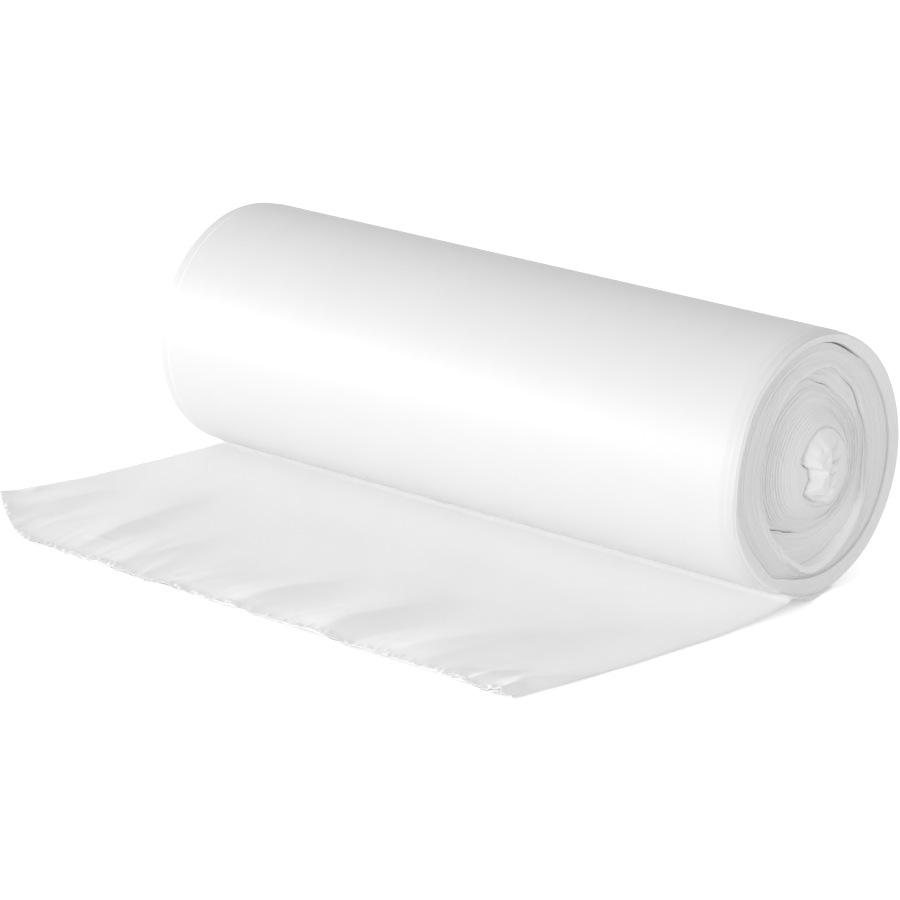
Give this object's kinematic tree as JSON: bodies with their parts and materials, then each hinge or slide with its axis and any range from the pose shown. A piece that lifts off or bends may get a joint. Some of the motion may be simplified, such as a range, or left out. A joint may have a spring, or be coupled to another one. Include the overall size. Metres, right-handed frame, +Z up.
{
  "type": "bin bag roll",
  "caption": "Coreless roll of white film bin bags lying on its side, with its outer end unrolled flat in front of it.",
  "frame": {"origin": "centre of the flat spot that the roll rests on, under the middle of the roll", "axes": "+X along the roll towards the end whose heart stands out, -Y towards the loose end, +Z up"},
  "size_m": [0.3182, 0.2199, 0.1024],
  "materials": {
    "film": "satin, slightly see-through white polyethylene film"
  },
  "bodies": {
    "root": {"bag_roll": "film"}
  },
  "joints": []
}
